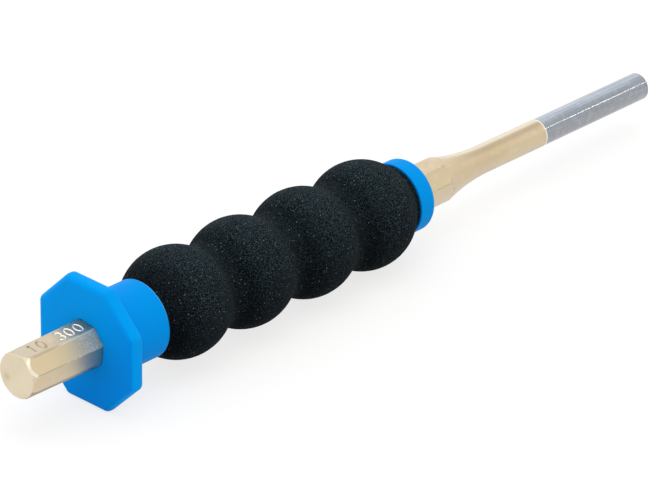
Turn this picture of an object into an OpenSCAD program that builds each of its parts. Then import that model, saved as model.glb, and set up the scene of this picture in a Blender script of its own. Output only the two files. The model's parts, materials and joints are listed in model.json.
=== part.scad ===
// Pin punch with a hand guard and a grip of four soft balls.
// The tool lies along X, with its struck face at the origin and its tip towards +X.
// Z is up, and the guard's flats are level with it. Sizes are in millimetres and degrees.

/* [Punch] */
// Length from the struck face to the tip
punch_length = 300; // [290:1:360]
// Octagon shank, across its flats
shank_af = 16; // [14:0.5:17]
// How much narrower the octagon is at the struck face than at the guard
head_narrowing = 0.4; // [0:0.1:1]
// How far the shank's flats are turned from the guard's flats
shank_turn = 7; // [0:0.5:22]
// How far the edge of the struck face lies inside the flats there
head_inset = 0.25; // [0.1:0.05:1.5]
// Angle between the taper behind the struck face and the axis
head_taper = 21; // [10:1:45]
// Radius of the struck face's edge
head_round = 0.5; // [0.2:0.1:1]
// Diameter of the round pin
pin_d = 9.9; // [6:0.1:12]
// Straight length of the pin
pin_length = 82; // [60:1:90]
// Radius of the hollow neck that runs from the octagon to the pin
neck_radius = 87; // [40:1:110]
// Radius of the edge at the tip
tip_round = 0.9; // [0.2:0.1:1.5]

/* [Guard and collar] */
// Length of shank that stands out behind the guard
head_length = 29.8; // [20:0.1:40]
// Octagon guard, across its flats
guard_af = 43.4; // [40:0.1:50]
// Thickness of the guard
guard_thick = 5.5; // [4:0.1:8]
// Radius of the guard's rounded edges
guard_round = 2.2; // [0.5:0.1:3]
// How far each corner of the guard is blunted
guard_blunt = 0.15; // [0.1:0.05:1]
// Diameter of the collar behind the guard
collar_d = 27; // [25:0.1:32]
// Length of the collar, from the guard to the grip
collar_length = 19.4; // [10:0.1:30]
// Radius of the collar's edge next to the grip
collar_round = 0.5; // [0.2:0.1:1]
// Radius in the corner between the guard and the collar
collar_fillet = 1; // [0.5:0.1:2]

/* [Tube] */
// Diameter of the tube that carries the grip
tube_d = 20; // [19.5:0.1:21.5]
// Play between each flat of the shank and its bore
shank_play = 0.05; // [0.02:0.01:0.3]

/* [Grip] */
// Number of balls
ball_count = 4; // [3:1:4]
// Diameter of a ball
ball_d = 37.6; // [34:0.1:42]
// Distance from the collar to the middle of the first ball
first_ball = 15.8; // [14:0.1:18]
// Distance between the middles of two balls
ball_pitch = 29.5; // [26:0.1:34]
// Distance between the middles of the last two balls, which the front ring pushes together
last_pitch = 28; // [26:0.1:34]
// Distance from the middle of the last ball to the front ring
last_ball = 15.9; // [14:0.1:18]
// Radius of the valleys between the balls
valley_round = 8; // [2:0.5:12]
// Diameter of the grip's plain ends
cuff_d = 24.4; // [22.5:0.1:25]
// Radial play of the grip on the tube
grip_play = 0.05; // [0.02:0.01:0.2]

/* [Front ring] */
// Diameter of the front ring
ring_d = 25.6; // [24:0.1:32]
// Length of the front ring
ring_length = 7.5; // [6:0.1:12]
// Radius of the front ring's outer edge
ring_round = 2; // [0.5:0.1:2.5]
// Thickness of the lip that covers the tube's end
ring_lip = 2; // [1:0.1:3]
// Radial play of the front ring on the tube
ring_play = 0.02; // [0.01:0.01:0.2]

/* [Hidden] */
$fn = 96;
sides = 8;
steel = [0.85, 0.77, 0.63];
blue = [0.0, 0.55, 0.87];
foam = [0.11, 0.13, 0.14];

// Punch, measured from the struck face
shank_r = shank_af / 2 / cos(180 / sides);
head_af = shank_af - head_narrowing;
face_r = head_af / 2 - head_inset;
// Distance from the corner between face and taper to the ends of its rounding
edge_reach = head_round * tan((90 - head_taper) / 2);
pin_r = pin_d / 2;
pin_start = punch_length - pin_length;
// The turned form stands clear of the octagon's corners by this much
turning_margin = 1;
turned_r = shank_r + turning_margin;

// Handle, measured from the struck face
guard_back = head_length + guard_thick;
guard_edge = min(guard_round, 0.45 * guard_thick);
guard_ac = guard_af / cos(180 / sides) - 2 * guard_blunt;
collar_r = collar_d / 2;
collar_end = guard_back + collar_length;
tube_r = tube_d / 2;
bore_af = shank_af + 2 * shank_play;

// Middles of the balls, and the ends of the grip
ball_r = ball_d / 2;
ball_x = [
    for (i = [0 : ball_count - 1])
        collar_end + first_ball + (i < ball_count - 1 ? ball_pitch * i : ball_pitch * (i - 1) + last_pitch)
];
grip_end = ball_x[ball_count - 1] + last_ball;
grip_bore_r = tube_r + grip_play;
ring_end = grip_end + ring_length;
tube_end = ring_end - ring_lip;

// Half of the punch's turned form: the radius runs along X and the length along Y
module punch_turning() {
    difference() {
        polygon([
            [0, 0],
            [face_r - edge_reach, 0],
            [face_r + edge_reach * sin(head_taper), edge_reach * cos(head_taper)],
            [turned_r, (turned_r - face_r) / tan(head_taper)],
            [turned_r, pin_start],
            [0, pin_start]
        ]);
        translate([pin_r + neck_radius, pin_start])
            circle(neck_radius, $fn = 240);
    }
    translate([face_r - edge_reach, head_round])
        circle(head_round);
    translate([0, pin_start])
        rounded_end(pin_r, pin_length, tip_round);
}

// Half of a round bar that starts at Y = 0 and has a rounded edge at its far end
module rounded_end(radius, length, edge) {
    square([radius, length - edge]);
    square([radius - edge, length]);
    translate([radius - edge, length - edge])
        circle(edge);
}

// Rectangle about the middle with rounded corners
module rounded_rectangle(width, height, corner) {
    square([width - 2 * corner, height], center = true);
    square([width, height - 2 * corner], center = true);
    for (x = [-1, 1], y = [-1, 1])
        translate([x * (width / 2 - corner), y * (height / 2 - corner)])
            circle(corner);
}

// Octagon bar along Z, turned as the shank is, with its width across flats at both ends
module octagon_bar(start_af, end_af, length) {
    across_corners = [start_af, end_af] / cos(180 / sides);
    rotate(180 / sides + shank_turn)
        cylinder(d1 = across_corners[0], d2 = across_corners[1], h = length, $fn = sides);
}

// Steel bar: the octagon and the turned form meet in scallops at the head and at the neck
module punch() {
    color(steel)
        rotate([0, 90, 0])
            intersection() {
                union() {
                    octagon_bar(head_af, shank_af, head_length);
                    translate([0, 0, head_length])
                        octagon_bar(shank_af, shank_af, punch_length - head_length);
                }
                rotate_extrude()
                    punch_turning();
            }
}

// Octagon plate: what four rounded bars, one across each pair of flats, have in common
module guard_plate() {
    intersection() {
        cylinder(d = guard_ac, h = 2 * guard_thick, center = true);
        intersection_for(k = [0 : sides / 2 - 1])
            rotate(k * 360 / sides)
                rotate([90, 0, 0])
                    linear_extrude(2 * guard_af, center = true)
                        rounded_rectangle(guard_af, guard_thick, guard_edge);
    }
}

// Collar with a hollow corner at the guard and a rounded edge at the grip
module collar_turning() {
    translate([0, guard_back - guard_thick / 2])
        rounded_end(collar_r, collar_length + guard_thick / 2, collar_round);
    difference() {
        translate([0, guard_back - guard_thick / 2])
            square([collar_r + collar_fillet, collar_fillet + guard_thick / 2]);
        translate([collar_r + collar_fillet, guard_back + collar_fillet])
            circle(collar_fillet);
    }
}

// Guard, collar and tube in one moulding, with an octagon bore for the shank
module handle_core() {
    color(blue)
        rotate([0, 90, 0])
            difference() {
                union() {
                    translate([0, 0, head_length + guard_thick / 2])
                        guard_plate();
                    rotate_extrude()
                        collar_turning();
                    translate([0, 0, guard_back])
                        cylinder(r = tube_r, h = tube_end - guard_back);
                }
                translate([0, 0, head_length - guard_thick])
                    octagon_bar(bore_af, bore_af, tube_end - head_length + 2 * guard_thick);
            }
}

// Fills the valley between two balls up to an arc that touches both of them
module valley(low, high) {
    middle = (low + high) / 2;
    reach = sqrt(pow(ball_r + valley_round, 2) - pow((high - low) / 2, 2));
    difference() {
        polygon([[0, low], [reach, middle], [0, high]]);
        translate([reach, middle])
            circle(valley_round);
    }
}

// Half of the grip without its bore
module grip_turning() {
    for (x = ball_x)
        translate([0, x])
            circle(ball_r, $fn = 180);
    for (i = [1 : ball_count - 1])
        valley(ball_x[i - 1], ball_x[i]);
    translate([0, collar_end])
        square([cuff_d / 2, grip_end - collar_end]);
}

// One foam sleeve, turned to a row of balls and pushed over the tube
module grip_sleeve() {
    color(foam)
        rotate([0, 90, 0])
            rotate_extrude()
                intersection() {
                    grip_turning();
                    translate([grip_bore_r, collar_end])
                        square([ball_d, grip_end - collar_end]);
                }
}

// End ring with a lip over the end of the tube
module front_ring() {
    color(blue)
        rotate([0, 90, 0])
            difference() {
                translate([0, 0, grip_end])
                    rotate_extrude()
                        difference() {
                            rounded_end(ring_d / 2, ring_length, ring_round);
                            square([tube_r + ring_play, ring_length - ring_lip]);
                        }
                translate([0, 0, grip_end])
                    octagon_bar(bore_af, bore_af, 2 * ring_length);
            }
}

punch();
handle_core();
grip_sleeve();
front_ring();
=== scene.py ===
"""Pin punch with a hand guard and a ball grip: its finished pieces, finishes and photo stage."""

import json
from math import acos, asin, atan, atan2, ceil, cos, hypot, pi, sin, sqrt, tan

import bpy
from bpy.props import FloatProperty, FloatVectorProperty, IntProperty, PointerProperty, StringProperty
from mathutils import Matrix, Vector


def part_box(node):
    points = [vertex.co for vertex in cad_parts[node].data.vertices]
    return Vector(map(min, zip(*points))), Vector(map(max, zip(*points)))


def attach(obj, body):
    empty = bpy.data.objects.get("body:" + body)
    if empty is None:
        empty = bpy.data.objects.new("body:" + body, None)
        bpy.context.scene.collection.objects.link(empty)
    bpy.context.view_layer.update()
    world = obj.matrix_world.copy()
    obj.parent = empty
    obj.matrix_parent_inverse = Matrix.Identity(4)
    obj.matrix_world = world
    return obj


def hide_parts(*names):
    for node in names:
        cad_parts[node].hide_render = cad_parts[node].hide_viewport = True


bl_info = {
    "name": "Pin Punch Maker",
    "version": (1, 0, 0),
    "blender": (4, 5, 0),
    "location": "View3D > Sidebar > Pin Punch",
    "description": "Models a pin punch with a hand guard, its finishes and a photo stage",
    "category": "Object",
}

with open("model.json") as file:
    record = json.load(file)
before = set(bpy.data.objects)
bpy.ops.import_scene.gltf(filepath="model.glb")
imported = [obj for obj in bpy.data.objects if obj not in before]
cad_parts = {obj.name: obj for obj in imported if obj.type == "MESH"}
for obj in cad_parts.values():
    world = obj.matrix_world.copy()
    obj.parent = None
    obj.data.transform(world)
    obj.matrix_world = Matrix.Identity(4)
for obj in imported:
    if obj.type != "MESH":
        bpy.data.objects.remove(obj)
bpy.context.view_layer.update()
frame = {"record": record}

# Places and sizes that the frame gives
BODY = "root"
BAR_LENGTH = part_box("punch")[1].x
GUARD_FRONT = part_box("handle_core")[0].x
GUARD_WIDTH = 2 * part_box("handle_core")[1].z
TUBE_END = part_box("handle_core")[1].x
GRIP_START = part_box("grip_sleeve")[0].x
GRIP_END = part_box("grip_sleeve")[1].x
BALL_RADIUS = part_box("grip_sleeve")[1].z
RING_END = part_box("front_ring")[1].x
RING_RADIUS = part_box("front_ring")[1].z
PIN_RADIUS = next(m["dims"]["r_mm"] for m in frame["record"]["mounts"] if m["name"] == "pin") / 1000
MM = 0.001
DEG = pi / 180
SIDES = 8
ONE_SIDE = 2 * pi / SIDES

# Fineness of the meshes
TURN_STEPS = 192
BALL_STEPS = 240
CURVE_STEP = 1.5 * DEG
BOW_STEP = 15 * DEG
ROD_FINENESS = 6
MERGE = 1e-6

# Angles below which neighbouring faces are shaded as one surface
STEEL_SMOOTHING = 16 * DEG
PLASTIC_SMOOTHING = 35 * DEG
FOAM_SMOOTHING = 40 * DEG

# How far a blank stands past the form that it is cut to
CUT_MARGIN = 1 * MM
# Length of the slope from the lacquer down to the bare steel
COAT_EDGE = 0.15 * MM
# How deep the collar is set into the guard
COLLAR_OVERLAP = 0.02 * MM
# How far above the grip's plain ends its uneven skin starts
SKIN_MARGIN = 0.1 * MM

# Small marks of use on the lacquer: their middle, their reach and their colour
SPOTS = (
    ((20.1 * MM, -7.95 * MM, 2.8 * MM), 0.6 * MM, "rim"),
    ((27.6 * MM, -7.8 * MM, 3.0 * MM), 0.8 * MM, "rim"),
    ((2.2 * MM, -8.1 * MM, 2.3 * MM), 0.6 * MM, "grime"),
    ((0, 4.4 * MM, -1.4 * MM), 2.6 * MM, "lacquer_deep"),
)

# Lamps: where they hang, their two sides and their colour
KEY_LAMP = ((0.0, -0.15, 1.3), (1.0, 0.8), (0.97, 0.99, 1.0))
STRIP_LAMP = ((0.965, -0.546, 0.479), (0.11, 0.012), (1.0, 1.0, 1.0))
# Directions along Y between which the near sky passes into the far one
SKY_CHANGE = (-0.6, 0.4)
SENSOR_WIDTH = 36
CLIP_RANGE = (0.05, 50)


def length_of(name, description, default):
    """A length that a user may set, in metres."""
    return FloatProperty(
        name=name, description=description, default=default, min=0, precision=5, unit="LENGTH"
    )


def angle_of(name, description, default):
    """An angle that a user may set, in radians."""
    return FloatProperty(name=name, description=description, default=default, subtype="ANGLE")


def power_of(name, description, default):
    """A lamp's power that a user may set, in watts."""
    return FloatProperty(name=name, description=description, default=default, min=0, unit="POWER")


def colour_of(name, description, default):
    """A colour that a user may set, in linear light."""
    return FloatVectorProperty(
        name=name, description=description, default=default, size=3, min=0, max=1, subtype="COLOR"
    )


class PinPunchBar(bpy.types.PropertyGroup):
    """Sizes of the steel bar"""

    length: length_of("Length", "From the struck face to the tip", BAR_LENGTH)
    shank_width: length_of("Shank Width", "Octagon shank, across its flats", 16 * MM)
    head_width: length_of("Head Width", "Octagon at the struck face, across its flats", 15.6 * MM)
    shank_turn: angle_of("Shank Turn", "How far the shank is turned in the guard", 7 * DEG)
    face_inset: length_of("Face Inset", "How far the struck face's edge lies inside the flats", 0.25 * MM)
    face_rounding: length_of("Face Rounding", "Radius of the struck face's edge", 0.5 * MM)
    head_taper: angle_of("Head Taper", "Between the taper behind the struck face and the axis", 21 * DEG)
    corner_softening: length_of("Corner Softening", "Worn strip on each side of a corner", 0.18 * MM)
    neck_radius: length_of("Neck Radius", "Radius of the hollow neck", 87 * MM)
    pin_radius: length_of("Pin Radius", "Radius of the round pin", PIN_RADIUS)
    pin_length: length_of("Pin Length", "Straight length of the pin", 82 * MM)
    tip_radius: length_of("Tip Radius", "Radius of the edge at the tip", 0.9 * MM)
    bare_length: length_of("Bare Length", "Length at the tip that is ground bare", 54 * MM)
    coat_thickness: length_of("Coat Thickness", "Step from the lacquer to the bare steel", 0.03 * MM)
    mark: StringProperty(name="Mark", description="Plain size stamped on the top flat", default="10 300")
    mark_height: length_of("Mark Height", "Height of the stamped figures", 4 * MM)
    mark_pitch: length_of("Mark Pitch", "Distance from one stamped figure to the next", 3.9 * MM)
    mark_width: length_of("Mark Width", "Width of the stamped lines", 0.8 * MM)
    mark_depth: length_of("Mark Depth", "Depth of the stamped figures", 0.22 * MM)
    mark_middle: length_of("Mark Middle", "Middle of the mark, from the struck face", 16 * MM)


class PinPunchHandle(bpy.types.PropertyGroup):
    """Sizes of the moulded handle"""

    guard_front: length_of("Guard Front", "Front of the guard, from the struck face", GUARD_FRONT)
    guard_width: length_of("Guard Width", "Octagon guard, across its flats", GUARD_WIDTH)
    guard_thickness: length_of("Guard Thickness", "Thickness of the guard", 5.5 * MM)
    guard_rounding: length_of("Guard Rounding", "Radius of the guard's edges", 2.2 * MM)
    corner_rounding: length_of("Corner Rounding", "Reach of the rounding at the guard's corners", 0.9 * MM)
    collar_radius: length_of("Collar Radius", "Radius of the collar behind the guard", 13.5 * MM)
    collar_rounding: length_of("Collar Rounding", "Radius of the collar's edge next to the grip", 0.5 * MM)
    collar_fillet: length_of("Collar Fillet", "Radius in the corner between guard and collar", 1 * MM)
    tube_radius: length_of("Tube Radius", "Radius of the tube under the grip", 10 * MM)
    bore_play: length_of("Bore Play", "Play between each flat of the shank and its bore", 0.05 * MM)
    bore_rounding: length_of("Bore Rounding", "Reach of the rounding at the bore's open edges", 0.25 * MM)


class PinPunchGrip(bpy.types.PropertyGroup):
    """Sizes of the foam grip"""

    ball_count: IntProperty(name="Balls", description="Number of balls", default=4, min=2)
    ball_radius: length_of("Ball Radius", "Radius of a ball", BALL_RADIUS)
    first_ball: length_of("First Ball", "From the collar to the middle of the first ball", 15.8 * MM)
    last_ball: length_of("Last Ball", "From the middle of the last ball to the ring", 15.9 * MM)
    ball_pitch: length_of("Ball Pitch", "Between the middles of two balls", 29.5 * MM)
    valley_radius: length_of("Valley Radius", "Radius of the valleys between the balls", 8 * MM)
    cuff_radius: length_of("Cuff Radius", "Radius of the grip's plain ends", 12.2 * MM)
    bore_radius: length_of("Bore Radius", "Radius of the grip's bore", 10.05 * MM)
    unevenness: length_of("Unevenness", "How far the foam's skin rises and falls", 0.08 * MM)
    swell: length_of("Swell", "Width of one rise of the foam's skin", 3 * MM)


class PinPunchRing(bpy.types.PropertyGroup):
    """Sizes of the front ring"""

    radius: length_of("Radius", "Outer radius", RING_RADIUS)
    rounding: length_of("Rounding", "Radius of the outer edge", 2 * MM)
    back_rounding: length_of("Back Rounding", "Radius of the edge next to the grip", 0.5 * MM)
    seat_radius: length_of("Seat Radius", "Radius of the seat on the tube", 10.02 * MM)


class PinPunchFinishes(bpy.types.PropertyGroup):
    """Colours of the finishes"""

    lacquer: colour_of("Lacquer", "Pale gold lacquer on the steel", (0.66, 0.55, 0.375))
    lacquer_deep: colour_of("Deep Lacquer", "Where the lacquer lies thicker", (0.58, 0.47, 0.29))
    # Also a painted pale reflection on the underside and on the top flat near the struck face
    thin_lacquer_and_pale_reflection: colour_of("Thin Lacquer", "Where the lacquer lies thin", (0.70, 0.65, 0.57))
    # Painted reflection: warm light seen in the front and lower flats of the head
    lacquer_painted_reflection: colour_of("Bright Lacquer", "Front and lower flats of the head", (0.76, 0.62, 0.40))
    # Painted shade: the dimmer reflection on the top flat, the dark one next to the guard, and shade on
    # the taper at the top corner
    lacquer_painted_shade: colour_of("Dull Lacquer", "Where the lacquer has gone dull", (0.38, 0.335, 0.25))
    lacquer_rosy: colour_of("Rosy Lacquer", "Where the lacquer has a rosy cast", (0.66, 0.50, 0.39))
    face: colour_of("Face", "Struck face, rubbed pale", (0.755, 0.66, 0.49))
    # Painted shade: a dark reflection along the neck, and the shade in the first figures
    painted_brown_shade: colour_of("Streak", "Brown streak and first figures", (0.34, 0.25, 0.14))
    grime: colour_of("Grime", "Dark lines along the corners", (0.24, 0.20, 0.15))
    # Also painted highlights and glints: the line where the lacquer stops, the line along the taper, the
    # bright figures, the pale band on the neck and the glints next to the guard
    rim: colour_of("Rim", "Where the lacquer stops or is rubbed pale", (0.90, 0.85, 0.74))
    bare_steel: colour_of("Bare Steel", "Ground steel at the tip", (0.475, 0.515, 0.565))
    # Painted shade: the darker reflection on the front of the ground steel, also laid on its end face
    bare_steel_shade: colour_of("Bare Shade", "Front of the ground steel", (0.335, 0.365, 0.415))
    # Painted shade: the darker reflection on the underside of the ground steel
    bare_underside_shade: colour_of("Bare Underside", "Underside of the ground steel", (0.345, 0.345, 0.36))
    blue: colour_of("Blue", "Blue plastic where it is thin", (0.0, 0.30, 0.79))
    blue_deep: colour_of("Deep Blue", "Blue plastic where it is thick", (0.0, 0.265, 0.735))
    # Painted shade on the guard's face, darker towards the lower side
    blue_painted_shade: colour_of("Low Blue", "Lower part of the guard's face", (0.0, 0.22, 0.70))
    # Painted highlight on the collar's edge next to the grip, above
    blue_edge_highlight: colour_of("Blue Edge", "Rim of the collar, above", (0.10, 0.50, 0.90))
    # Painted shade on the collar's edge next to the grip, below, and on the ring's edge
    blue_gap_shade: colour_of("Blue Gap", "Edges of the blue plastic in the gap to the grip", (0.0, 0.04, 0.20))
    foam: colour_of("Foam", "Black foam", (0.0055, 0.0085, 0.0102))
    fleck: colour_of("Fleck", "Pale flecks in the foam", (0.15, 0.16, 0.165))


class PinPunchStage(bpy.types.PropertyGroup):
    """Camera, floor and light"""

    camera_place: FloatVectorProperty(
        name="Camera Place",
        description="Where the camera stands",
        default=(-0.92207, -1.00415, 0.74964),
        precision=5,
        subtype="TRANSLATION",
    )
    camera_turn: FloatVectorProperty(
        name="Camera Turn",
        description="Which way the camera looks",
        default=(62.721 * DEG, -0.650 * DEG, -46.261 * DEG),
        precision=5,
        subtype="EULER",
    )
    lens: FloatProperty(name="Lens", description="Focal length", default=275.19, min=1, unit="CAMERA")
    floor_size: length_of("Floor Size", "Side of the floor", 14.0)
    floor: colour_of("Floor", "Colour of the floor", (0.95, 0.94, 0.93))
    bounce: colour_of("Bounce", "Share of the light that the floor throws back", (0.75, 0.75, 0.77))
    glow: FloatProperty(
        name="Glow",
        description="Share of plain white in what is seen of the floor",
        default=0.75,
        min=0,
        max=1,
        subtype="FACTOR",
    )
    sky: colour_of("Sky", "Light from the far side", (0.955, 0.97, 1.0))
    near_sky: colour_of("Near Sky", "Light from the near side", (0.80, 0.785, 0.745))
    sky_level: FloatProperty(
        name="Sky Level", description="Strength of the light from all round", default=1.25, min=0
    )
    key_power: power_of("Key Power", "Power of the broad lamp overhead", 3)
    strip_power: power_of("Strip Power", "Power of the narrow lamp at the side", 0.06)


class PinPunchSettings(bpy.types.PropertyGroup):
    """All that can be set"""

    bar: PointerProperty(type=PinPunchBar)
    handle: PointerProperty(type=PinPunchHandle)
    grip: PointerProperty(type=PinPunchGrip)
    ring: PointerProperty(type=PinPunchRing)
    finishes: PointerProperty(type=PinPunchFinishes)
    stage: PointerProperty(type=PinPunchStage)


# Modelling by hand

def take_new(name):
    """Name the object that was just added, and return it."""
    piece = bpy.context.object
    piece.name = name
    piece.data.name = name
    return piece


def deselect():
    bpy.ops.object.select_all(action="DESELECT")


def switch(mode):
    """Go to edit mode or object mode."""
    bpy.ops.object.mode_set(mode=mode)


def arc(x, radial, radius, start, stop):
    """Points of an arc about (x, radial), between two angles in radians from +X towards outwards."""
    steps = max(2, ceil(abs(stop - start) / CURVE_STEP))
    angles = (start + (stop - start) * i / steps for i in range(steps + 1))
    return [(x + radius * cos(a), radial + radius * sin(a)) for a in angles]


def close_mesh():
    """Merge what coincides, turn all faces outwards and leave edit mode."""
    bpy.ops.mesh.select_all(action="SELECT")
    bpy.ops.mesh.remove_doubles(threshold=MERGE)
    bpy.ops.mesh.normals_make_consistent(inside=False)
    switch("OBJECT")


def drawn_line(name, points):
    """Draw a line through points, vertex by vertex, and stay in edit mode."""
    deselect()
    bpy.ops.mesh.primitive_plane_add(size=MM, location=points[0])
    piece = take_new(name)
    switch("EDIT")
    bpy.ops.mesh.select_mode(type="VERT")
    bpy.ops.mesh.select_all(action="SELECT")
    bpy.ops.mesh.merge(type="CENTER")
    for here, following in zip(points, points[1:]):
        step = tuple(b - a for a, b in zip(here, following))
        bpy.ops.mesh.extrude_vertices_move(TRANSFORM_OT_translate={"value": step})
    bpy.ops.mesh.select_all(action="SELECT")
    bpy.ops.mesh.remove_doubles(threshold=MERGE)
    return piece


def turned(name, outline, steps=TURN_STEPS):
    """Draw an outline of (x, radius) points, and spin it once round the X axis."""
    piece = drawn_line(name, [(x, 0, radial) for x, radial in outline])
    bpy.ops.mesh.spin(steps=steps, angle=2 * pi, center=(0, 0, 0), axis=(1, 0, 0))
    close_mesh()
    bpy.ops.object.transform_apply()
    return piece


def to_corner(width):
    """Distance from the middle of an octagon to its corners."""
    return width / 2 / cos(pi / SIDES)


def octagon(name, width, low, high, turn):
    """Add an eight-sided block along X, with its top flat turned from level towards -Y."""
    deselect()
    bpy.ops.mesh.primitive_cylinder_add(
        vertices=SIDES,
        radius=to_corner(width),
        depth=high - low,
        location=((low + high) / 2, 0, 0),
    )
    piece = take_new(name)
    piece.rotation_mode = "ZYX"
    piece.rotation_euler = (0, pi / 2, pi / SIDES + turn)
    bpy.ops.object.transform_apply()
    return piece


def start_choice(kind):
    """Clear the choice of edges or faces, for a new one to be made in object mode."""
    switch("EDIT")
    bpy.ops.mesh.select_mode(type=kind)
    bpy.ops.mesh.select_all(action="DESELECT")
    switch("OBJECT")


def bevel_edges(piece, chosen, offset, segments):
    """Bevel the edges whose two ends pass a test."""
    start_choice("EDGE")
    places = [v.co for v in piece.data.vertices]
    for edge in piece.data.edges:
        a, b = edge.vertices
        edge.select = chosen(places[a], places[b])
    switch("EDIT")
    bpy.ops.mesh.bevel(offset=offset, segments=segments, affect="EDGES")
    switch("OBJECT")


def draw_out_head(bar, settings):
    """Extrude the octagon's near end from the guard to the head, and narrow it on the way."""
    sizes = settings.bar
    start = settings.handle.guard_front
    reach = start + CUT_MARGIN
    start_choice("FACE")
    for face in bar.data.polygons:
        face.select = face.normal.x < -0.9
    switch("EDIT")
    bpy.ops.mesh.extrude_region_move(TRANSFORM_OT_translate={"value": (-reach, 0, 0)})
    narrowing = 1 - (1 - sizes.head_width / sizes.shank_width) * reach / start
    bpy.ops.transform.resize(value=(1, narrowing, narrowing), center_override=(-CUT_MARGIN, 0, 0))
    switch("OBJECT")


def along_axis(a, b):
    """Whether an edge runs along the tool."""
    return hypot(a.y - b.y, a.z - b.z) < 0.1 * abs(a.x - b.x)


def round_axis(a, b):
    """Whether an edge runs square to the tool."""
    return abs(a.x - b.x) < MERGE


def select_only(piece):
    deselect()
    piece.select_set(True)
    bpy.context.view_layer.objects.active = piece


def apply_last(piece):
    """Apply the modifier that was added last."""
    bpy.ops.object.modifier_apply(modifier=piece.modifiers[-1].name)


def combine(piece, other, operation):
    """Add, cut or intersect one solid with another, which is used up."""
    select_only(piece)
    bpy.ops.object.modifier_add(type="BOOLEAN")
    piece.modifiers[-1].operation = operation
    piece.modifiers[-1].solver = "EXACT"
    piece.modifiers[-1].object = other
    apply_last(piece)
    if not piece.data.polygons:
        raise RuntimeError(f"{piece.name} was lost when {other.name} was used on it")
    bpy.data.objects.remove(other)


def smooth(piece, angle):
    """Shade smooth below an angle, with the large faces setting the normals."""
    select_only(piece)
    bpy.ops.object.shade_smooth_by_angle(angle=angle)
    bpy.ops.object.modifier_add(type="WEIGHTED_NORMAL")
    piece.modifiers[-1].keep_sharp = True
    apply_last(piece)


def place_piece(piece, node, material):
    """Give a finished piece its finish and its body, and hide the node that it stands for."""
    piece.data.materials.clear()
    piece.data.materials.append(material)
    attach(piece, BODY)
    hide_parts(node)


# Building finishes

class Nodes:
    """A node tree that is put together step by step."""

    def __init__(self, tree):
        self.tree = tree

    def add(self, kind, **settings):
        node = self.tree.nodes.new(kind)
        for name, value in settings.items():
            setattr(node, name, value)
        return node

    def feed(self, socket, value):
        """Link an output to a socket, or set the socket to a constant."""
        if isinstance(value, bpy.types.NodeSocket):
            self.tree.links.new(value, socket)
        else:
            socket.default_value = value

    def maths(self, operation, a, b=0.0):
        node = self.add("ShaderNodeMath", operation=operation)
        self.feed(node.inputs[0], a)
        self.feed(node.inputs[1], b)
        return node.outputs[0]

    def product(self, result, *factors):
        for factor in factors:
            result = self.maths("MULTIPLY", result, factor)
        return result

    def linear(self, value, slope, start):
        return self.maths("ADD", self.product(value, slope), start)

    def gap(self, a, b):
        """How far two values lie apart."""
        return self.maths("ABSOLUTE", self.maths("SUBTRACT", a, b))

    def axes(self, vector):
        node = self.add("ShaderNodeSeparateXYZ")
        self.feed(node.inputs[0], vector)
        return node.outputs

    def span(self, value, low, high, out_low=0.0, out_high=1.0):
        """Smooth step from one value to another."""
        node = self.add("ShaderNodeMapRange", interpolation_type="SMOOTHSTEP")
        names = ("Value", "From Min", "From Max", "To Min", "To Max")
        for name, number in zip(names, (value, low, high, out_low, out_high)):
            self.feed(node.inputs[name], number)
        return node.outputs["Result"]

    def band(self, value, start, full, fading, end):
        """Smooth rise from start to full, and smooth fall from fading to end."""
        return self.product(self.span(value, start, full), self.span(value, end, fading))

    def mix(self, share, a, b):
        node = self.add("ShaderNodeMix", data_type="RGBA")
        self.feed(node.inputs["Factor"], share)
        for socket, colour in zip(node.inputs[6:8], (a, b)):
            self.feed(socket, colour if isinstance(colour, bpy.types.NodeSocket) else (*colour, 1))
        return node.outputs[2]


class Finish(Nodes):
    """A material on Object coordinates, whose skin is laid on colour by colour."""

    def __init__(self, name, metallic, specular):
        self.material = bpy.data.materials.new(name)
        self.material.use_nodes = True
        super().__init__(self.material.node_tree)
        self.shader = self.tree.nodes["Principled BSDF"]
        self.give("Metallic", metallic)
        self.give("Specular IOR Level", specular)
        self.coordinates = self.add("ShaderNodeTexCoord")
        self.place = self.coordinates.outputs["Object"]
        self.skin = None

    def give(self, name, value):
        """Feed one of the shader's own sockets."""
        self.feed(self.shader.inputs[name], value)

    def lay(self, colour, *shares):
        """Lay a colour over the skin, as far as the product of its shares says."""
        self.skin = self.mix(self.product(*shares), self.skin, colour)

    def noise(self, scale, detail=2.0, roughness=0.5, stretch=None):
        place = self.place
        if stretch:
            mapping = self.add("ShaderNodeMapping")
            self.feed(mapping.inputs["Scale"], stretch)
            self.feed(mapping.inputs["Vector"], place)
            place = mapping.outputs["Vector"]
        node = self.add("ShaderNodeTexNoise")
        names = ("Scale", "Detail", "Roughness", "Vector")
        for name, value in zip(names, (scale, detail, roughness, place)):
            self.feed(node.inputs[name], value)
        return node.outputs["Fac"]

    def from_axis(self, y, z):
        """Distance from the tool's axis."""
        return self.maths("SQRT", self.maths("ADD", self.product(y, y), self.product(z, z)))

    def narrow_rim(self, x, end):
        """A thin band round a piece, where something ends."""
        return self.band(x, end - 0.6 * MM, end - 0.3 * MM, end, end + 0.2 * MM)

    def bump(self, height, distance):
        node = self.add("ShaderNodeBump")
        self.feed(node.inputs["Distance"], distance)
        self.feed(node.inputs["Height"], height)
        self.give("Normal", node.outputs["Normal"])


def head_slope(bar, handle):
    """How fast the flats rise from the struck face to the guard."""
    return (bar.shank_width - bar.head_width) / 2 / handle.guard_front


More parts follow.
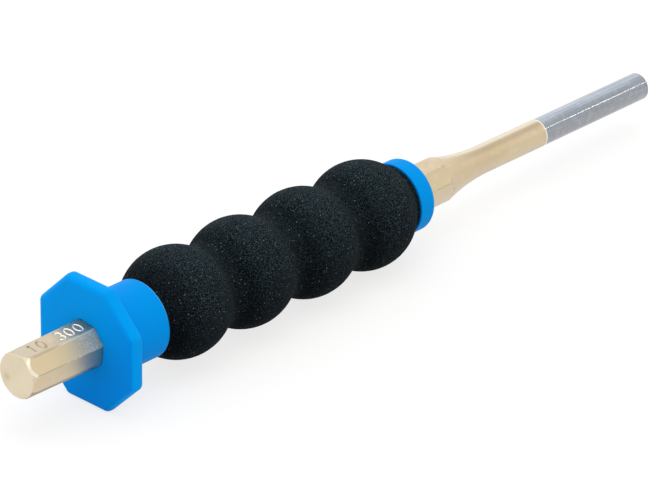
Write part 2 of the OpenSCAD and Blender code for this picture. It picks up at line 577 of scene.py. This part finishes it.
class BarFinish(Finish):
    """Finish that knows each point's place along the bar and its angle round it."""

    def __init__(self, bar, handle, finishes):
        super().__init__("lacquered_steel", metallic=1.0, specular=0.5)
        self.bar, self.handle, self.tones = bar, handle, finishes
        self.guard = handle.guard_front
        self.pin_start = bar.length - bar.pin_length
        self.x, self.y, self.z = self.axes(self.place)
        self.radial = self.from_axis(self.y, self.z)
        self.cloud = self.noise(90, detail=4, roughness=0.6, stretch=(0.4, 1, 1))
        self.tint = self.noise(150, detail=3, stretch=(0.6, 1, 1))
        self.blotch = self.noise(420, detail=3)
        self.grain = self.noise(2600)
        self.nick = self.noise(900, detail=3, stretch=(0.6, 1, 1))

        # Angle from the top towards -Y, which starts and ends at a corner behind
        self.corner = bar.shank_turn + ONE_SIDE / 2
        turn = self.maths("ARCTAN2", self.height(self.corner + pi / 2), self.height(self.corner))
        self.around = self.maths("ADD", turn, self.corner)
        side = self.maths("DIVIDE", self.maths("SUBTRACT", self.around, bar.shank_turn), ONE_SIDE)
        self.corner_angle = self.product(self.gap(self.maths("FRACT", side), 0.5), ONE_SIDE)
        self.to_front = self.gap(self.around, bar.shank_turn + ONE_SIDE)
        self.front = self.span(self.to_front, 25 * DEG, 20 * DEG)
        self.near_guard = self.band(
            self.x, self.guard - 12 * MM, self.guard - 4 * MM, self.guard, self.guard + 2 * MM
        )

    def height(self, turn):
        """Height over the axis, in a direction turned from the top towards -Y."""
        up, over = cos(turn), sin(turn)
        return self.maths("SUBTRACT", self.product(self.z, up), self.product(self.y, over))

    def lay_lacquer(self):
        """Cloudy, rosy in places, thin in spots, and paler towards the underside as a painted reflection.
        """
        tones = self.tones
        rosy = self.mix(0.5, tones.lacquer, tones.lacquer_rosy)
        self.skin = self.mix(self.span(self.tint, 0.38, 0.62), rosy, tones.lacquer)
        self.lay(tones.lacquer_deep, self.span(self.cloud, 0.35, 0.65, 0.5, 0))
        self.lay(tones.thin_lacquer_and_pale_reflection, self.span(self.blotch, 0.5, 0.75, 0, 0.4))
        self.lay(tones.lacquer_deep, self.span(self.grain, 0.35, 0.6, 0.3, 0))
        # Painted reflection: paler and cooler towards the underside
        self.lay(tones.thin_lacquer_and_pale_reflection, self.span(self.z, 2 * MM, -5 * MM, 0, 0.45))

    def tone_head(self):
        """Painted reflections on the flats of the head: warm on the front and lower flats, dim and cool on
        the top flat, and dark, duller and grainy next to the guard, with painted glints.
        """
        tones = self.tones
        lower = self.span(self.around, 72 * DEG, 77 * DEG)
        upper = self.span(self.around, 32 * DEG, 27 * DEG)
        off_guard = self.span(self.x, self.guard - 6 * MM, self.guard - 12 * MM)
        at_end = self.span(self.x, 14 * MM, 8 * MM)
        # Painted reflection: warm light on the front and lower flats
        self.lay(tones.lacquer_painted_reflection, off_guard, self.front, 0.7)
        self.lay(tones.lacquer_painted_reflection, off_guard, lower, 0.4)
        # Painted reflection: dim and cool on the top flat at the head end
        self.lay(tones.lacquer_painted_shade, at_end, upper, 0.3)
        self.lay(tones.thin_lacquer_and_pale_reflection, at_end, upper, 0.25)
        # Painted reflection: the top flat dark next to the guard
        self.lay(tones.lacquer_painted_shade, self.near_guard, upper, 0.75)
        # Painted glints of grains next to the guard, mostly on the front flat
        painted_glint = self.span(self.noise(2300), 0.555, 0.64)
        self.lay(tones.rim, self.near_guard, self.linear(self.front, 0.75, 0.25), painted_glint)
        matt = self.product(self.near_guard, self.front, 0.3)
        self.give("Metallic", self.maths("SUBTRACT", 1.0, matt))

    def tone_neck(self):
        """A painted dark reflection along the neck, as a soft brown band, and a painted highlight as a
        paler band beside it, on top.
        """
        # Painted reflection: soft brown band along the neck
        self.lay(
            self.tones.painted_brown_shade,
            self.span(self.gap(self.around, 19 * DEG), 26 * DEG, 2 * DEG, 0, 0.5),
            self.span(self.x, self.pin_start - 24 * MM, self.pin_start),
        )
        # Painted highlight: pale band along the top of the neck
        self.lay(
            self.tones.rim,
            self.span(self.gap(self.around, -10 * DEG), 25 * DEG, 5 * DEG, 0, 0.42),
            self.span(self.x, RING_END + 8 * MM, RING_END + 20 * MM),
        )

    def line_corners(self):
        """Corners rubbed pale, with a dark line that is broken below and whole at the head."""
        corner_radius = to_corner(self.bar.head_width)
        on_corner = self.product(
            self.span(self.product(self.corner_angle, self.radial), 0.28 * MM, 0.1 * MM),
            self.span(self.radial, corner_radius - 0.2 * MM, corner_radius - 0.1 * MM),
        )
        at_end = self.span(self.x, 18 * MM, 10 * MM)
        rubbed = self.span(self.x, 60 * MM, 40 * MM, 0.1, 0.4)
        rubbed = self.maths("SUBTRACT", rubbed, self.product(at_end, 0.4))
        dirty = self.product(self.span(self.z, 6 * MM, 3 * MM), self.span(self.nick, 0.4, 0.52))
        dirty = self.maths("MAXIMUM", dirty, at_end)
        dirty = self.maths("MAXIMUM", dirty, self.span(self.nick, 0.52, 0.6, 0, 0.7))
        self.lay(self.tones.rim, on_corner, rubbed)
        self.lay(self.tones.grime, on_corner, dirty, 0.38)
        self.lay(
            self.tones.grime,
            self.span(self.around, 113 * DEG, 117 * DEG, 0, 0.6),
            self.span(self.x, self.guard, self.guard - 4 * MM),
        )

    def line_neck(self):
        """A dotted dark line where the flats run out at the neck."""
        bar = self.bar
        to_pin = self.maths("SUBTRACT", self.pin_start, self.x)
        drop = self.maths("SUBTRACT", bar.neck_radius ** 2, self.product(to_pin, to_pin))
        neck = self.maths("SUBTRACT", bar.pin_radius + bar.neck_radius, self.maths("SQRT", drop))
        across = self.maths("COSINE", self.maths("SUBTRACT", ONE_SIDE / 2, self.corner_angle))
        off_flat = self.gap(bar.shank_width / 2, self.product(self.radial, across))
        off_edge = self.maths("ADD", off_flat, self.gap(neck, self.radial))
        line = self.span(off_edge, 0.05 * MM, 0.025 * MM)
        self.lay(self.tones.grime, line, self.span(self.nick, 0.45, 0.55, 0, 0.6))

    def head_face_and_painted_highlight(self):
        """Struck face and taper, with painted shade on the taper at the top corner, and a painted
        highlight as a bright line along the taper's edge at the front flat.
        """
        bar, tones = self.bar, self.tones
        half_width = bar.head_width / 2
        face = self.mix(self.span(self.cloud, 0.35, 0.65, 0.25, 0), tones.face, tones.lacquer_deep)
        face = self.mix(self.span(self.blotch, 0.45, 0.7, 0, 0.3), face, tones.thin_lacquer_and_pale_reflection)
        self.lay(face, self.span(self.x, 0.3 * MM, 0.1 * MM))
        cone = self.linear(self.x, tan(bar.head_taper), half_width - bar.face_inset)
        on_cone = self.span(self.gap(self.radial, cone), 0.2 * MM, 0.06 * MM)
        # Painted shade on the taper at the top corner
        corner_shade = self.span(self.gap(self.around, self.corner), 18 * DEG, 9 * DEG, 0, 0.45)
        self.lay(tones.lacquer_painted_shade, on_cone, corner_shade)
        # Painted highlight: a bright line along the taper's edge at the front flat
        to_flat = self.product(self.radial, self.maths("COSINE", self.to_front))
        inside_flat = self.maths("SUBTRACT", half_width, to_flat)
        self.lay(
            tones.rim,
            on_cone,
            self.band(self.around, 26 * DEG, 40 * DEG, 74 * DEG, 79 * DEG),
            self.span(inside_flat, 0.5 * MM, 0.25 * MM, 0.15, 1),
            self.span(self.nick, 0.35, 0.5, 0.6, 1),
            0.95,
        )

    def colour_stamp(self):
        """Stamped figures, with painted shade in brown near the struck face and a painted highlight
        towards the guard.
        """
        flat = self.linear(self.x, head_slope(self.bar, self.handle), self.bar.head_width / 2)
        sunk = self.maths("SUBTRACT", flat, self.height(self.bar.shank_turn))
        # Painted shade and highlight in the grooves, brown near the struck face and pale towards the guard
        bright = self.span(self.x, 11 * MM, 17 * MM)
        self.lay(
            self.mix(bright, self.tones.painted_brown_shade, self.tones.rim),
            self.band(sunk, 0.02 * MM, 0.1 * MM, 0.4 * MM, 0.5 * MM),
            self.band(self.x, 3.5 * MM, 4 * MM, 28.5 * MM, 29 * MM),
            self.span(self.corner_angle, 2 * DEG, 3 * DEG),
            self.linear(bright, 0.4, 0.6),
        )

    def mark_use(self):
        """Small spots with ragged edges."""
        for middle, reach, tone in SPOTS:
            away = self.add("ShaderNodeVectorMath", operation="DISTANCE")
            self.feed(away.inputs[0], self.place)
            self.feed(away.inputs[1], middle)
            ragged = self.maths("ADD", away.outputs["Value"], self.product(self.blotch, 0.6 * reach))
            self.lay(getattr(self.tones, tone), self.span(ragged, 1.1 * reach, 0.3 * reach, 0, 0.75))

    def ground_steel(self):
        """Bare steel with painted reflections that make it darker in front and below, with fine lines
        along it and one round the tip.
        """
        bar, tones = self.bar, self.tones
        from_top = self.maths("ABSOLUTE", self.around)
        drawn = self.noise(1600, detail=3, stretch=(0.025, 1, 1))
        end_face = self.span(self.radial, bar.pin_radius - 0.6 * MM, bar.pin_radius - 1.1 * MM)
        turned_line = self.span(self.gap(self.x, bar.length - MM), 0.25 * MM, 0.1 * MM, 0, 0.6)
        dull = tuple(0.8 * c for c in tones.bare_steel_shade)
        steel = tones.bare_steel
        # Painted reflections: darker in front and below, and the front's shade on the end face
        for share, tone in (
            (self.span(from_top, 12 * DEG, 36 * DEG), tones.bare_steel_shade),
            (self.span(from_top, 62 * DEG, 85 * DEG), tones.bare_underside_shade),
            (end_face, tones.bare_steel_shade),
            (self.span(drawn, 0.35, 0.6, 0.7, 0), dull),
            (self.span(self.grain, 0.35, 0.6, 0.35, 0), dull),
            (self.span(self.blotch, 0.45, 0.7, 0, 0.25), tones.bare_steel),
            (turned_line, dull),
        ):
            steel = self.mix(share, steel, tone)
        return steel

    def grind_tip(self):
        """Bare tip with a painted highlight as a pale line where the lacquer stops. The skin is rough next
        to the guard.
        """
        ground = self.bar.length - self.bar.bare_length
        # Painted highlight: pale line where the lacquer stops
        self.lay(self.tones.rim, self.narrow_rim(self.x, ground))
        bare = self.span(self.x, ground - 0.05 * MM, ground + 0.05 * MM)
        self.lay(self.ground_steel(), bare)
        self.give("Base Color", self.skin)
        self.give("Roughness", self.span(self.linear(self.grain, 0.3, bare), 0.05, 1.0, 0.42, 0.13))
        rough = self.product(self.grain, self.linear(self.near_guard, 7.0, 1.0))
        rough = self.maths("ADD", rough, self.blotch)
        self.bump(self.product(rough, self.maths("SUBTRACT", 1.0, bare)), 0.012 * MM)


def lacquered_steel(bar, handle, finishes):
    """Pale gold lacquer on a drawn bar, worn along its corners, and ground bare at the tip, with painted
    reflections, shade and highlights.
    """
    finish = BarFinish(bar, handle, finishes)
    finish.lay_lacquer()
    finish.tone_head()
    finish.tone_neck()
    finish.line_corners()
    finish.line_neck()
    finish.head_face_and_painted_highlight()
    finish.colour_stamp()
    finish.mark_use()
    finish.grind_tip()
    return finish.material


def blue_plastic(handle, finishes):
    """Satin moulded plastic with a fine skin, with painted shade towards the lower side of the guard's
    face, and on the edges next to the grip a painted highlight above and painted shade below and in the
    gap.
    """
    finish = Finish("blue_plastic", metallic=0.0, specular=0.02)
    x, y, z = finish.axes(finish.place)
    grain = finish.noise(1800)
    flow = finish.noise(120, detail=3)
    guard_back = handle.guard_front + handle.guard_thickness
    behind = finish.span(x, guard_back - 0.5 * MM, guard_back + 0.5 * MM)
    finish.skin = finish.mix(behind, finishes.blue, finishes.blue_deep)
    finish.lay(finishes.blue_deep, finish.span(flow, 0.3, 0.7, 0.2, 0))
    # Painted shade, darker towards the lower side of the guard's face
    low = finish.span(finish.maths("ADD", y, z), 14 * MM, -26 * MM, 0.25, 1)
    on_face = finish.span(x, handle.guard_front + 0.9 * MM, handle.guard_front + 0.3 * MM)
    finish.lay(finishes.blue_painted_shade, low, on_face)
    # Painted highlight above and painted shade below, on the collar's edge next to the grip
    edge = finish.mix(finish.span(z, 2 * MM, 9 * MM), finishes.blue_gap_shade, finishes.blue_edge_highlight)
    finish.lay(edge, finish.narrow_rim(x, GRIP_START), 0.7)
    # Painted shade on the ring's edge next to the grip
    ring_back_shade = finish.band(x, GRIP_END - 0.1 * MM, GRIP_END, GRIP_END + 0.1 * MM, GRIP_END + 0.5 * MM)
    finish.lay(finishes.blue_gap_shade, ring_back_shade, 0.6)
    finish.give("Base Color", finish.skin)
    finish.give("Roughness", finish.span(grain, 0.3, 0.7, 0.42, 0.55))
    finish.bump(grain, 0.01 * MM)
    return finish.material


def black_foam(grip, finishes):
    """Fine closed cells with pale flecks, with painted light that makes the tops of the balls and the
    upper side paler.
    """
    finish = Finish("black_foam", metallic=0.0, specular=0.02)
    finish.give("Sheen Weight", 0.02)
    finish.give("Sheen Roughness", 0.45)
    finish.give("Sheen Tint", (0.8, 0.93, 1.0, 1.0))
    _, y, z = finish.axes(finish.place)
    radial = finish.from_axis(y, z)
    cells = finish.noise(2500, detail=3, roughness=0.65)
    worn = finish.noise(160, detail=3)
    dark, light = (tuple(level * c for c in finishes.foam) for level in (0.15, 4.3))
    finish.skin = finish.mix(finish.span(cells, 0.44, 0.71), dark, light)
    finish.lay(finishes.foam, finish.span(worn, 0.3, 0.8, 0, 0.4))

    # Painted light and shade: paler on top, darker below, in the valleys and on the sides that face the
    # head
    upward = finish.maths("DIVIDE", z, radial)
    above = finish.maths("MAXIMUM", finish.linear(upward, 0.95, 1.42), 0.8)
    valley_shade = finish.span(radial, grip.ball_radius - 4.4 * MM, grip.ball_radius - 0.2 * MM, 0.6, 1)
    outward = finish.axes(finish.coordinates.outputs["Normal"])
    behind = finish.span(outward["X"], -0.6, -0.05, 0.72, 1)
    shaded = finish.add("ShaderNodeVectorMath", operation="SCALE")
    finish.feed(shaded.inputs[0], finish.skin)
    finish.feed(shaded.inputs["Scale"], finish.product(above, valley_shade, behind))
    finish.skin = shaded.outputs[0]

    # Flecks in some of the cells
    dots = finish.add("ShaderNodeTexVoronoi", feature="F1")
    finish.feed(dots.inputs["Scale"], 1100)
    finish.feed(dots.inputs["Vector"], finish.place)
    chance = finish.add("ShaderNodeSeparateColor")
    finish.feed(chance.inputs[0], dots.outputs["Color"])
    near = finish.span(dots.outputs["Distance"], 0.26, 0.12)
    finish.lay(finishes.fleck, near, finish.span(chance.outputs[0], 0.7, 1.0))
    finish.give("Base Color", finish.skin)
    finish.give("Roughness", finish.span(cells, 0.3, 0.7, 0.95, 0.8))
    finish.bump(cells, 0.12 * MM)
    return finish.material


# Outlines, as (x, radius) points

def bar_outline(sizes):
    """The bar's turned form: tapered head, hollow neck, lacquered and bare pin, rounded tip."""
    face = sizes.head_width / 2 - sizes.face_inset
    edge_reach = sizes.face_rounding * tan((pi / 2 - sizes.head_taper) / 2)
    edge = arc(sizes.face_rounding, face - edge_reach, sizes.face_rounding, pi, pi / 2 + sizes.head_taper)
    outside = to_corner(sizes.shank_width) + CUT_MARGIN
    pin_start = sizes.length - sizes.pin_length
    ground = sizes.length - sizes.bare_length
    bare = sizes.pin_radius - sizes.coat_thickness
    reach = acos(1 - (outside - sizes.pin_radius) / sizes.neck_radius)
    neck_middle = sizes.pin_radius + sizes.neck_radius
    neck = arc(pin_start, neck_middle, sizes.neck_radius, -pi / 2 - reach, -pi / 2)
    tip = arc(sizes.length - sizes.tip_radius, bare - sizes.tip_radius, sizes.tip_radius, pi / 2, 0)
    return [
        (0, 0),
        *edge,
        ((outside - face) / tan(sizes.head_taper), outside),
        *neck,
        (ground, sizes.pin_radius),
        (ground + COAT_EDGE, bare),
        *tip,
        (sizes.length, 0),
    ]


def handle_outline(sizes):
    """Collar and tube, from the middle of the guard on."""
    start = sizes.guard_front + sizes.guard_thickness / 2
    back = sizes.guard_front + sizes.guard_thickness - COLLAR_OVERLAP
    radius, edge = sizes.collar_radius, sizes.collar_rounding
    flare = radius + sizes.collar_fillet
    return [
        (start, 0),
        (start, flare),
        *arc(back + sizes.collar_fillet, flare, sizes.collar_fillet, pi, 1.5 * pi),
        *arc(GRIP_START - edge, radius - edge, edge, pi / 2, 0),
        (GRIP_START, sizes.tube_radius),
        (TUBE_END, sizes.tube_radius),
        (TUBE_END, 0),
    ]


def bore_for_shank(piece, settings, open_end):
    """Cut the octagon bore for the shank through a piece, and round its edge at the end that shows."""
    width = settings.bar.shank_width + 2 * settings.handle.bore_play
    combine(piece, octagon("bore", width, 0, BAR_LENGTH, settings.bar.shank_turn), "DIFFERENCE")
    limit = to_corner(width) + MERGE

    def at_mouth(a, b):
        return all(abs(v.x - open_end) < MERGE and hypot(v.y, v.z) < limit for v in (a, b))

    bevel_edges(piece, at_mouth, settings.handle.bore_rounding, segments=3)


def grip_outline(sizes):
    """A row of balls with hollow valleys that touch them, plain ends and a bore."""
    middles = [GRIP_START + sizes.first_ball + sizes.ball_pitch * i for i in range(sizes.ball_count - 1)]
    middles.append(GRIP_END - sizes.last_ball)
    cuff = asin(sizes.cuff_radius / sizes.ball_radius)
    outline = [(GRIP_START, sizes.bore_radius), (GRIP_START, sizes.cuff_radius)]
    start = pi - cuff
    for this, following in zip(middles, middles[1:]):
        half = (following - this) / 2
        reach = sqrt((sizes.ball_radius + sizes.valley_radius) ** 2 - half ** 2)
        touch = atan2(reach, half)
        outline += arc(this, 0, sizes.ball_radius, start, touch)
        outline += arc(this + half, reach, sizes.valley_radius, pi + touch, 2 * pi - touch)[1:-1]
        start = pi - touch
    outline += arc(middles[-1], 0, sizes.ball_radius, start, cuff)
    outline += [(GRIP_END, sizes.cuff_radius), (GRIP_END, sizes.bore_radius)]
    return outline + outline[:1]


def ring_outline(sizes):
    """Ring with a seat for the tube, and a lip over the tube's end."""
    back, front = sizes.back_rounding, sizes.rounding
    return [
        (GRIP_END, sizes.seat_radius),
        *arc(GRIP_END + back, sizes.radius - back, back, pi, pi / 2),
        *arc(RING_END - front, sizes.radius - front, front, pi / 2, 0),
        (RING_END, 0),
        (TUBE_END, 0),
        (TUBE_END, sizes.seat_radius),
        (GRIP_END, sizes.seat_radius),
    ]


def bow(x, y, width, height, start, stop):
    """Points of an oval bow about (x, y), between two angles in degrees."""
    steps = ceil(abs(stop - start) * DEG / BOW_STEP)
    angles = ((start + (stop - start) * i / steps) * DEG for i in range(steps + 1))
    return [(x + width * cos(a), y + height * sin(a)) for a in angles]


# Lines of the plain figures, in half heights from their middle
FIGURES = {
    "0": (bow(0, 0, 0.6, 1, 90, 450),),
    "1": (((-0.4, 0.6), (0, 1)), ((0, 1), (0, -1))),
    "2": (bow(0, 0.5, 0.55, 0.5, 165, -40), ((0.42, 0.18), (-0.6, -1)), ((-0.6, -1), (0.6, -1))),
    "3": (bow(0, 0.5, 0.55, 0.5, 155, -90), bow(0, -0.5, 0.6, 0.5, 90, -155)),
    "4": (((0.3, -1), (0.3, 1)), ((0.3, 1), (-0.6, -0.4)), ((-0.6, -0.4), (0.65, -0.4))),
    "5": (((0.5, 1), (-0.45, 1)), ((-0.45, 1), (-0.5, 0.15)), bow(0, -0.38, 0.6, 0.62, 125, -150)),
    "6": (bow(0, -0.4, 0.58, 0.6, 90, 450), bow(0.35, -0.4, 0.93, 1.4, 180, 90)),
    "7": (((-0.6, 1), (0.6, 1)), ((0.6, 1), (-0.2, -1))),
    "8": (bow(0, 0.5, 0.5, 0.5, 90, 450), bow(0, -0.5, 0.6, 0.5, 90, 450)),
    "9": (bow(0, 0.4, 0.58, 0.6, 90, 450), bow(-0.35, 0.4, 0.93, 1.4, 0, -90)),
}


def rod_along(points, radius):
    """Draw a line, and thicken it to a round rod."""
    drawn_line("rod", points)
    switch("OBJECT")
    bpy.ops.object.convert(target="CURVE")
    bpy.context.object.data.bevel_depth = radius
    bpy.context.object.data.bevel_resolution = ROD_FINENESS
    bpy.context.object.data.use_fill_caps = True
    bpy.ops.object.convert(target="MESH")
    switch("EDIT")
    close_mesh()
    return bpy.context.object


def stamp_mark(bar, settings):
    """Press each line of the mark into the top flat, as a groove with a round bottom."""
    sizes = settings.bar
    slope = head_slope(sizes, settings.handle)
    flat = sizes.head_width / 2 + slope * sizes.mark_middle
    onto_flat = (
        Matrix.Rotation(sizes.shank_turn, 4, "X")
        @ Matrix.Translation((sizes.mark_middle, 0, flat))
        @ Matrix.Rotation(-atan(slope), 4, "Y")
    )
    rod = ((sizes.mark_width / 2) ** 2 + sizes.mark_depth ** 2) / (2 * sizes.mark_depth)
    height = rod - sizes.mark_depth
    half = sizes.mark_height / 2
    first = -sizes.mark_pitch * (len(sizes.mark) - 1) / 2
    for place, figure in enumerate(sizes.mark):
        middle = first + sizes.mark_pitch * place
        for line in FIGURES[figure] if figure != " " else ():
            points = [onto_flat @ Vector((middle + half * u, half * v, height)) for u, v in line]
            combine(bar, rod_along(points, rod), "DIFFERENCE")


class PINPUNCH_OT_make_bar(bpy.types.Operator):
    """Model the steel bar: a soft-cornered octagon cut to its turned form, with its size stamped on top"""

    bl_idname = "pin_punch.make_bar"
    bl_label = "Steel Bar"
    bl_options = {"REGISTER", "UNDO"}

    def execute(self, context):
        settings = context.scene.pin_punch
        sizes = settings.bar
        guard = settings.handle.guard_front
        bar = octagon("steel_bar", sizes.shank_width, guard, sizes.length + CUT_MARGIN, sizes.shank_turn)
        draw_out_head(bar, settings)
        bevel_edges(bar, along_axis, sizes.corner_softening, segments=3)
        combine(bar, turned("bar_turning", bar_outline(sizes)), "INTERSECT")
        stamp_mark(bar, settings)
        smooth(bar, STEEL_SMOOTHING)
        finish = lacquered_steel(sizes, settings.handle, settings.finishes)
        place_piece(bar, "punch", finish)
        return {"FINISHED"}


class PINPUNCH_OT_make_handle(bpy.types.Operator):
    """Model the moulded handle: rounded octagon guard, collar and tube, bored for the shank"""

    bl_idname = "pin_punch.make_handle"
    bl_label = "Moulded Handle"
    bl_options = {"REGISTER", "UNDO"}

    def execute(self, context):
        settings = context.scene.pin_punch
        sizes = settings.handle
        back = sizes.guard_front + sizes.guard_thickness
        handle = octagon("moulded_handle", sizes.guard_width, sizes.guard_front, back, 0)
        bevel_edges(handle, along_axis, sizes.corner_rounding, segments=5)
        bevel_edges(handle, round_axis, sizes.guard_rounding, segments=6)
        combine(handle, turned("collar_turning", handle_outline(sizes)), "UNION")
        bore_for_shank(handle, settings, sizes.guard_front)
        smooth(handle, PLASTIC_SMOOTHING)
        place_piece(handle, "handle_core", blue_plastic(sizes, settings.finishes))
        return {"FINISHED"}


class PINPUNCH_OT_make_grip(bpy.types.Operator):
    """Model the foam grip: a turned row of balls with a slightly uneven skin"""

    bl_idname = "pin_punch.make_grip"
    bl_label = "Foam Grip"
    bl_options = {"REGISTER", "UNDO"}

    def execute(self, context):
        settings = context.scene.pin_punch
        sizes = settings.grip
        grip = turned("foam_grip", grip_outline(sizes), BALL_STEPS)
        skin = grip.vertex_groups.new(name="skin")
        inside = sizes.cuff_radius + SKIN_MARGIN
        outer = [v.index for v in grip.data.vertices if hypot(v.co.y, v.co.z) > inside]
        skin.add(outer, 1.0, "REPLACE")
        select_only(grip)
        swell = bpy.data.textures.new("foam_swell", "CLOUDS")
        swell.noise_scale = sizes.swell
        bpy.ops.object.modifier_add(type="DISPLACE")
        grip.modifiers[-1].texture = swell
        grip.modifiers[-1].texture_coords = "LOCAL"
        grip.modifiers[-1].strength = sizes.unevenness
        grip.modifiers[-1].vertex_group = skin.name
        apply_last(grip)
        smooth(grip, FOAM_SMOOTHING)
        place_piece(grip, "grip_sleeve", black_foam(sizes, settings.finishes))
        return {"FINISHED"}


class PINPUNCH_OT_make_ring(bpy.types.Operator):
    """Model the front ring with its rounded edge and its lip over the tube"""

    bl_idname = "pin_punch.make_ring"
    bl_label = "Front Ring"
    bl_options = {"REGISTER", "UNDO"}

    def execute(self, context):
        settings = context.scene.pin_punch
        ring = turned("end_ring", ring_outline(settings.ring))
        bore_for_shank(ring, settings, RING_END)
        smooth(ring, PLASTIC_SMOOTHING)
        place_piece(ring, "front_ring", blue_plastic(settings.handle, settings.finishes))
        return {"FINISHED"}


# Stage

def floor_finish(stage):
    """Matt white that the camera sees a little whiter, with the shadow kept."""
    finish = Finish("pale_floor", metallic=0.0, specular=0.0)
    finish.give("Roughness", 1.0)
    glow = finish.add("ShaderNodeEmission")
    blend = finish.add("ShaderNodeMixShader")
    path = finish.add("ShaderNodeLightPath")
    seen = finish.maths("MAXIMUM", path.outputs["Is Camera Ray"], path.outputs["Is Glossy Ray"])
    seen = finish.maths("MAXIMUM", seen, path.outputs["Is Transmission Ray"])
    finish.give("Base Color", finish.mix(seen, stage.bounce, stage.floor))
    finish.feed(blend.inputs[0], finish.product(seen, stage.glow))
    finish.feed(blend.inputs[1], finish.shader.outputs[0])
    finish.feed(blend.inputs[2], glow.outputs[0])
    finish.feed(finish.tree.nodes["Material Output"].inputs["Surface"], blend.outputs[0])
    return finish.material


def add_floor(settings):
    """Lay the floor under the guard's lower flat and the last ball, on which the tool rests."""
    handle = settings.handle
    guard_x = handle.guard_front + handle.guard_thickness - handle.guard_rounding
    guard_z = -handle.guard_width / 2
    ball_x = GRIP_END - settings.grip.last_ball
    run = hypot(ball_x - guard_x, guard_z)
    tilt = atan2(-guard_z, ball_x - guard_x) - asin(settings.grip.ball_radius / run)
    deselect()
    bpy.ops.mesh.primitive_plane_add(size=settings.stage.floor_size, location=(guard_x, 0, guard_z))
    floor = take_new("floor")
    floor.rotation_euler = (0, -tilt, 0)
    bpy.ops.object.transform_apply(location=False)
    floor.data.materials.append(floor_finish(settings.stage))


def add_lamp(name, design, target, power):
    """Hang a rectangular soft lamp that faces a point, with its first side as near along X as can be."""
    place, sides, colour = design
    deselect()
    bpy.ops.object.light_add(type="AREA", location=place)
    lamp = take_new(name)
    back = (Vector(place) - Vector(target)).normalized()
    side = (Vector((1, 0, 0)) - back * back.x).normalized()
    lamp.rotation_euler = Matrix((side, back.cross(side), back)).transposed().to_euler()
    lamp.data.shape = "RECTANGLE"
    lamp.data.size, lamp.data.size_y = sides
    lamp.data.energy = power
    lamp.data.color = colour


def set_world(stage):
    """Light from all round, a little warmer and weaker from the near side."""
    world = bpy.data.worlds.new("studio")
    world.use_nodes = True
    nodes = Nodes(world.node_tree)
    direction = nodes.add("ShaderNodeTexCoord").outputs["Generated"]
    far = nodes.span(nodes.axes(direction)["Y"], *SKY_CHANGE)
    background = world.node_tree.nodes["Background"]
    nodes.feed(background.inputs["Color"], nodes.mix(far, stage.near_sky, stage.sky))
    nodes.feed(background.inputs["Strength"], stage.sky_level)
    bpy.context.scene.world = world


def add_camera(stage):
    deselect()
    bpy.ops.object.camera_add(location=stage.camera_place, rotation=stage.camera_turn)
    camera = take_new("camera")
    camera.data.lens = stage.lens
    camera.data.sensor_width = SENSOR_WIDTH
    camera.data.clip_start, camera.data.clip_end = CLIP_RANGE
    bpy.context.scene.camera = camera


class PINPUNCH_OT_set_stage(bpy.types.Operator):
    """Set the camera, a pale floor and soft light round the tool"""

    bl_idname = "pin_punch.set_stage"
    bl_label = "Photo Stage"
    bl_options = {"REGISTER", "UNDO"}

    def execute(self, context):
        settings = context.scene.pin_punch
        stage = settings.stage
        middle = (BAR_LENGTH / 2, 0, 0)
        pin_middle = (BAR_LENGTH - settings.bar.bare_length / 2, 0, 0)
        add_camera(stage)
        add_floor(settings)
        set_world(stage)
        add_lamp("soft_key", KEY_LAMP, middle, stage.key_power)
        add_lamp("strip", STRIP_LAMP, pin_middle, stage.strip_power)
        context.scene.view_settings.view_transform = "Standard"
        return {"FINISHED"}


class PINPUNCH_PT_maker(bpy.types.Panel):
    """Lists what can be made, and the sizes and colours that can be set"""

    bl_idname = "PINPUNCH_PT_maker"
    bl_label = "Pin Punch"
    bl_space_type = "VIEW_3D"
    bl_region_type = "UI"
    bl_category = "Pin Punch"

    def draw(self, context):
        for operator in OPERATORS:
            self.layout.operator(operator.bl_idname)
        for group in GROUPS:
            box = self.layout.box()
            values = getattr(context.scene.pin_punch, group)
            for name in values.__annotations__:
                box.prop(values, name)


GROUPS = ("bar", "handle", "grip", "ring", "finishes", "stage")
OPERATORS = (
    PINPUNCH_OT_make_bar,
    PINPUNCH_OT_make_handle,
    PINPUNCH_OT_make_grip,
    PINPUNCH_OT_make_ring,
    PINPUNCH_OT_set_stage,
)
CLASSES = (
    PinPunchBar,
    PinPunchHandle,
    PinPunchGrip,
    PinPunchRing,
    PinPunchFinishes,
    PinPunchStage,
    PinPunchSettings,
    *OPERATORS,
    PINPUNCH_PT_maker,
)


def register():
    for cls in CLASSES:
        bpy.utils.register_class(cls)
    bpy.types.Scene.pin_punch = PointerProperty(type=PinPunchSettings)


def unregister():
    del bpy.types.Scene.pin_punch
    for cls in reversed(CLASSES):
        bpy.utils.unregister_class(cls)


def main():
    register()
    bpy.ops.pin_punch.set_stage()
    bpy.ops.pin_punch.make_bar()
    bpy.ops.pin_punch.make_handle()
    bpy.ops.pin_punch.make_grip()
    bpy.ops.pin_punch.make_ring()


if __name__ == "__main__":
    main()
